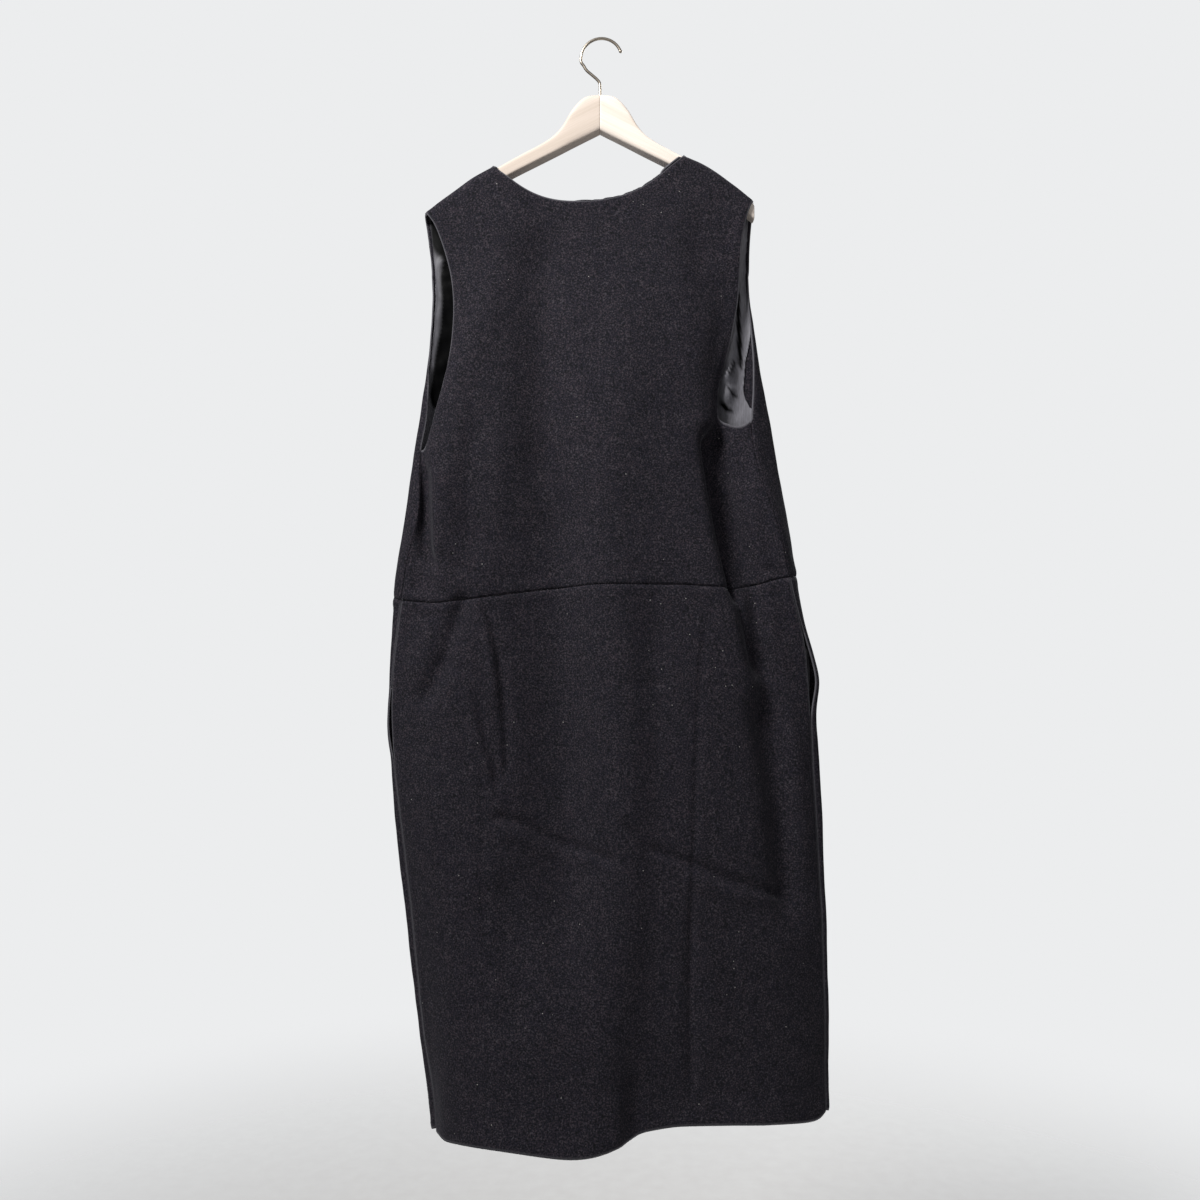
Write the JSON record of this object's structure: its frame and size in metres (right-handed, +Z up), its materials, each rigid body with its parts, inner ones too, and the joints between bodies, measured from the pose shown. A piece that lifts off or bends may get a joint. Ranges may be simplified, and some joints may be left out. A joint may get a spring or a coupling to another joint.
{
  "type": "pinafore dress on a hanger",
  "caption": "Sleeveless wool pinafore dress, lined bodice and side-seam pockets, hung by its shoulders on a wooden hanger with a wire hook.",
  "frame": {"origin": "underside of the top of the hook, where a rail or peg carries the hanger", "axes": "+Z up along the hook's shank, +X along the hanger's arms, -Y out of the dress's back, which is the side shown, +Y out of its front"},
  "size_m": [0.5564, 0.116, 1.3687],
  "materials": {
    "wool": "matt black wool melton with fine light and blue fibres",
    "lining": "dark grey satin lining, soft sheen",
    "hanger_wood": "pale fine-grained wood, smooth, unvarnished",
    "hook_wire": "satin nickel-plated wire"
  },
  "bodies": {
    "root": {"back_bodice": "wool", "back_skirt": "wool", "front_bodice": "wool", "front_skirt": "wool", "lining_back": "lining", "lining_front": "lining", "pocket_back_right": "lining", "pocket_front_right": "lining", "pocket_back_left": "lining", "pocket_front_left": "lining", "hanger_arm_right": "hanger_wood", "hanger_arm_left": "hanger_wood", "hook": "hook_wire"}
  },
  "joints": []
}
